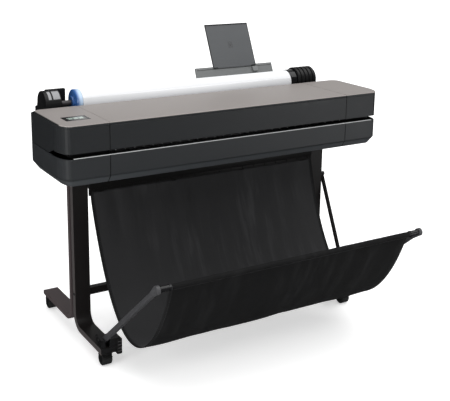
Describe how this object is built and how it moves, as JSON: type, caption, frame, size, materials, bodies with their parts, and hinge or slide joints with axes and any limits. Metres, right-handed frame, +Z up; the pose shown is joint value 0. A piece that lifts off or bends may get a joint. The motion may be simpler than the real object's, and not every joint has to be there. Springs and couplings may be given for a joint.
{
  "type": "large format plotter",
  "caption": "Wide roll-fed plotter on a wheeled stand, with a hinged top cover, display, rear paper roll, sheet tray and a black fabric catch basket.",
  "frame": {"origin": "on the floor, at the centre of the bounding box seen from above", "axes": "+Z up, +X to the right of someone facing the front, +Y towards the roll side at the back"},
  "size_m": [1.317, 0.9629, 1.0893],
  "materials": {
    "charcoal_shell": "satin",
    "taupe_top": "satin",
    "light_plastic": "satin",
    "black_plastic": "matte",
    "display_glass": "gloss",
    "rubber": "matte",
    "steel": "satin",
    "grey_plastic": "satin",
    "tray_panel": "satin",
    "paper": "matte",
    "cardboard": "matte",
    "blue_plastic": "satin",
    "black_paint": "satin",
    "grey_metal": "satin",
    "fabric": "matte"
  },
  "bodies": {
    "frame": {"basket_fabric": "fabric", "carriage_rail": "steel", "chassis": "black_plastic", "display_bezel": "black_plastic", "display_glass": "display_glass", "electronics_box": "steel", "exit_plate": "light_plastic", "ink_tank_1": "black_plastic", "ink_tank_2": "black_plastic", "ink_tank_3": "black_plastic", "ink_tank_4": "black_plastic", "left_arm_bracket": "black_plastic", "left_deck_panel": "taupe_top", "left_front_tube": "black_paint", "left_post_web": "black_paint", "left_rear_tube": "black_paint", "left_spindle_support": "black_plastic", "lower_cross_beam": "black_paint", "lower_front_cover": "charcoal_shell", "lower_left_end_cap": "charcoal_shell", "lower_right_end_cap": "charcoal_shell", "platen": "black_plastic", "power_inlet": "black_plastic", "rear_cover": "charcoal_shell", "rear_fabric_bar": "black_paint", "right_arm_bracket": "black_plastic", "right_front_tube": "black_paint", "right_post_web": "black_paint", "right_rear_tube": "black_paint", "right_spindle_support": "black_plastic", "right_stay_rod": "black_paint", "tray_base": "grey_plastic", "upper_cross_beam": "black_paint", "upper_left_end_cap": "charcoal_shell", "upper_right_end_cap": "charcoal_shell"},
    "lid": {"top_cover": "taupe_top", "lid_front_panel": "charcoal_shell"},
    "ink_cover": {"ink_bay_cover": "taupe_top"},
    "carriage": {"ink_carriage": "grey_plastic"},
    "feed_roller": {"feed_roller": "rubber"},
    "roll": {"spindle_rod": "black_plastic", "spindle_collar": "light_plastic", "black_hub": "black_plastic", "roll_core": "cardboard", "paper_roll": "paper"},
    "hub": {"blue_hub": "blue_plastic"},
    "tray_sheet": {"tray_extension": "tray_panel"},
    "guide": {"tray_guide": "black_plastic"},
    "basket_frame": {"left_arm": "grey_metal", "right_arm": "grey_metal", "front_bar": "grey_metal"},
    "front_left_swivel": {"front_left_fork": "black_plastic"},
    "front_left_roller": {"front_left_wheel": "rubber"},
    "front_right_swivel": {"front_right_fork": "black_plastic"},
    "front_right_roller": {"front_right_wheel": "rubber"},
    "rear_left_swivel": {"rear_left_fork": "black_plastic"},
    "rear_left_roller": {"rear_left_wheel": "rubber"},
    "rear_right_swivel": {"rear_right_fork": "black_plastic"},
    "rear_right_roller": {"rear_right_wheel": "rubber"}
  },
  "joints": [
    {"name": "lid_hinge", "type": "hinge", "parent": "frame", "child": "lid", "pos_m": [0, 0.2136, 0.85], "axis": [-1, 0, 0], "range_deg": [0, 60]},
    {"name": "ink_cover_hinge", "type": "hinge", "parent": "frame", "child": "ink_cover", "pos_m": [0.575, 0.2136, 0.85], "axis": [-1, 0, 0], "range_deg": [0, 70]},
    {"name": "carriage_travel", "type": "slide", "parent": "frame", "child": "carriage", "axis": [-1, 0, 0], "range_m": [0, 0.8]},
    {"name": "feed_roller_spin", "type": "hinge", "parent": "frame", "child": "feed_roller", "pos_m": [0, 0.1426, 0.742], "axis": [1, 0, 0], "continuous": true},
    {"name": "roll_spin", "type": "hinge", "parent": "frame", "child": "roll", "pos_m": [0, 0.2946, 0.857], "axis": [1, 0, 0], "continuous": true},
    {"name": "blue_hub_slide", "type": "slide", "parent": "roll", "child": "hub", "axis": [-1, 0, 0], "range_m": [0, 0.035]},
    {"name": "tray_extension_fold", "type": "hinge", "parent": "frame", "child": "tray_sheet", "pos_m": [0.26325, 0.37214, 0.92304], "axis": [1, 0, 0], "range_deg": [0, 75]},
    {"name": "tray_guide_slide", "type": "slide", "parent": "frame", "child": "guide", "axis": [1, 0, 0], "range_m": [-0.24, 0.07]},
    {"name": "basket_arm_pivot", "type": "hinge", "parent": "frame", "child": "basket_frame", "pos_m": [0, -0.0674, 0.092], "axis": [1, 0, 0], "range_deg": [-40, 25], "deforming": ["basket_fabric"]},
    {"name": "front_left_swivel_turn", "type": "hinge", "parent": "frame", "child": "front_left_swivel", "pos_m": [-0.5215, -0.0754, 0.0497], "axis": [0, 0, 1], "continuous": true},
    {"name": "front_left_wheel_turn", "type": "hinge", "parent": "front_left_swivel", "child": "front_left_roller", "pos_m": [-0.5215, -0.0674, 0.023], "axis": [1, 0, 0], "continuous": true},
    {"name": "front_right_swivel_turn", "type": "hinge", "parent": "frame", "child": "front_right_swivel", "pos_m": [0.5215, -0.0754, 0.0497], "axis": [0, 0, 1], "continuous": true},
    {"name": "front_right_wheel_turn", "type": "hinge", "parent": "front_right_swivel", "child": "front_right_roller", "pos_m": [0.5215, -0.0674, 0.023], "axis": [1, 0, 0], "continuous": true},
    {"name": "rear_left_swivel_turn", "type": "hinge", "parent": "frame", "child": "rear_left_swivel", "pos_m": [-0.5215, 0.4506, 0.0557], "axis": [0, 0, 1], "continuous": true},
    {"name": "rear_left_wheel_turn", "type": "hinge", "parent": "rear_left_swivel", "child": "rear_left_roller", "pos_m": [-0.5215, 0.4586, 0.023], "axis": [1, 0, 0], "continuous": true},
    {"name": "rear_right_swivel_turn", "type": "hinge", "parent": "frame", "child": "rear_right_swivel", "pos_m": [0.5215, 0.4506, 0.0557], "axis": [0, 0, 1], "continuous": true},
    {"name": "rear_right_wheel_turn", "type": "hinge", "parent": "rear_right_swivel", "child": "rear_right_roller", "pos_m": [0.5215, 0.4586, 0.023], "axis": [1, 0, 0], "continuous": true}
  ]
}
